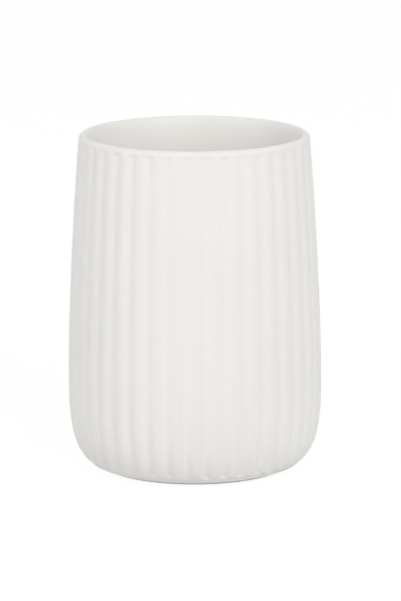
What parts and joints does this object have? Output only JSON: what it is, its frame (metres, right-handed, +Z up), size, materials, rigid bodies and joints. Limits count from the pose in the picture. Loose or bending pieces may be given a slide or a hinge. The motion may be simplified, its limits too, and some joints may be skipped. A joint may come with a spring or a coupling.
{
  "type": "toothbrush holder",
  "caption": "Free-standing ceramic toothbrush tumbler with a reeded outside wall, plain rounded lip, soft lower edge and non-slip pads inside its foot ring.",
  "frame": {"origin": "centre of the standing circle, on the surface that the pads stand on", "axes": "+Z up along the tumbler's axis of revolution, out of its mouth; -Y through the crest of a reed, at the front of the picture; +X to the right of that front"},
  "size_m": [0.08, 0.0799, 0.1061],
  "materials": {
    "glazed_body": "satin",
    "non_slip_pad": "matte"
  },
  "bodies": {
    "root": {"tumbler_body": "glazed_body", "base_pad_1": "non_slip_pad", "base_pad_2": "non_slip_pad", "base_pad_3": "non_slip_pad", "base_pad_4": "non_slip_pad"}
  },
  "joints": []
}
